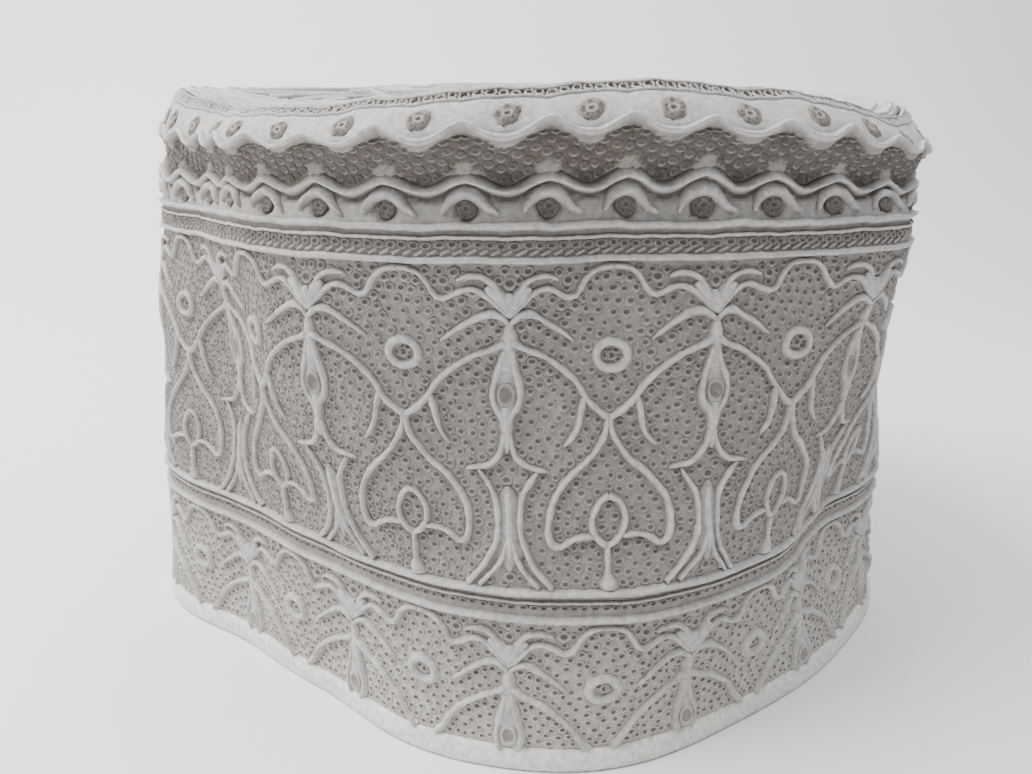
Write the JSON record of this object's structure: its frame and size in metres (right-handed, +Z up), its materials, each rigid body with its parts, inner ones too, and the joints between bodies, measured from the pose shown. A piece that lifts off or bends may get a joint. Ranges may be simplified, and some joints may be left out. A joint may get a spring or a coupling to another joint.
{
  "type": "omani cap",
  "caption": "Round embroidered cotton cap with an upright banded wall, a rolled upper edge and a flat sloping top, hollow and open below.",
  "frame": {"origin": "middle of the bounding box on the surface that the cap stands on", "axes": "+Z up from the rim to the crown, -Y towards the front, +X to the right seen from the front"},
  "size_m": [0.1922, 0.1868, 0.1374],
  "materials": {
    "embroidered_cotton": "matt white cotton, quilted in raised cords over a ground of small eyelets",
    "plain_cotton": "matt plain white cotton strip",
    "ladder_stitched_cotton": "matt white cotton with a row of ladder stitches between two thin cords",
    "crown_cotton": "matt white cotton with sewn rings and eyelets"
  },
  "bodies": {
    "root": {"side_wall": "embroidered_cotton", "hem_binding": "plain_cotton", "crown_seam": "ladder_stitched_cotton", "crown_top": "crown_cotton"}
  },
  "joints": []
}
